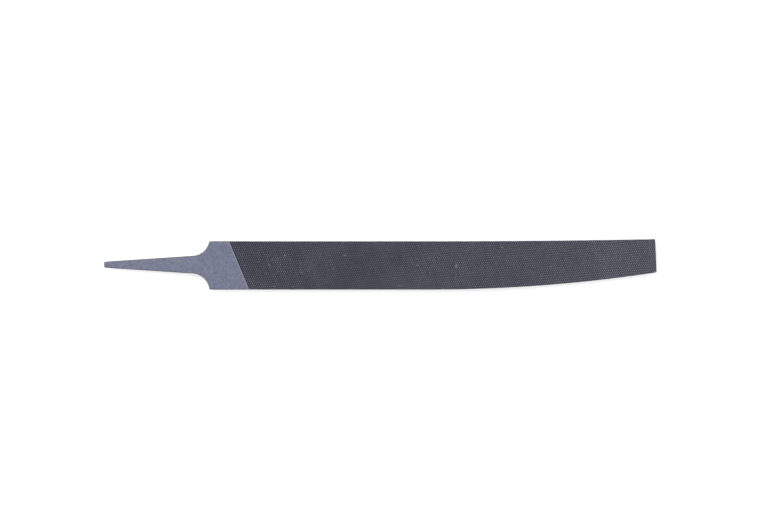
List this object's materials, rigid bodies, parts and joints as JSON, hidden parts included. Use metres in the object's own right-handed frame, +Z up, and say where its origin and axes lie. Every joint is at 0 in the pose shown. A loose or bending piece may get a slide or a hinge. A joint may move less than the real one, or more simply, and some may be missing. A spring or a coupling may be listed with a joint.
{
  "type": "flat file",
  "caption": "Flat hand file for metal, without a handle: a double-cut steel blade with one bellied edge, an uncut slanted heel and a tapered tang.",
  "frame": {"origin": "under the middle of the whole file, on the surface that it lies on", "axes": "+X along the blade to its point, with the tang at -X; +Y towards the straighter edge, with the bellied edge at -Y; +Z up through the thickness"},
  "size_m": [0.1884, 0.0172, 0.004],
  "materials": {
    "steel": "matte blue-grey hardened steel, dark where the teeth are cut"
  },
  "bodies": {
    "root": {"flat_file": "steel"}
  },
  "joints": []
}
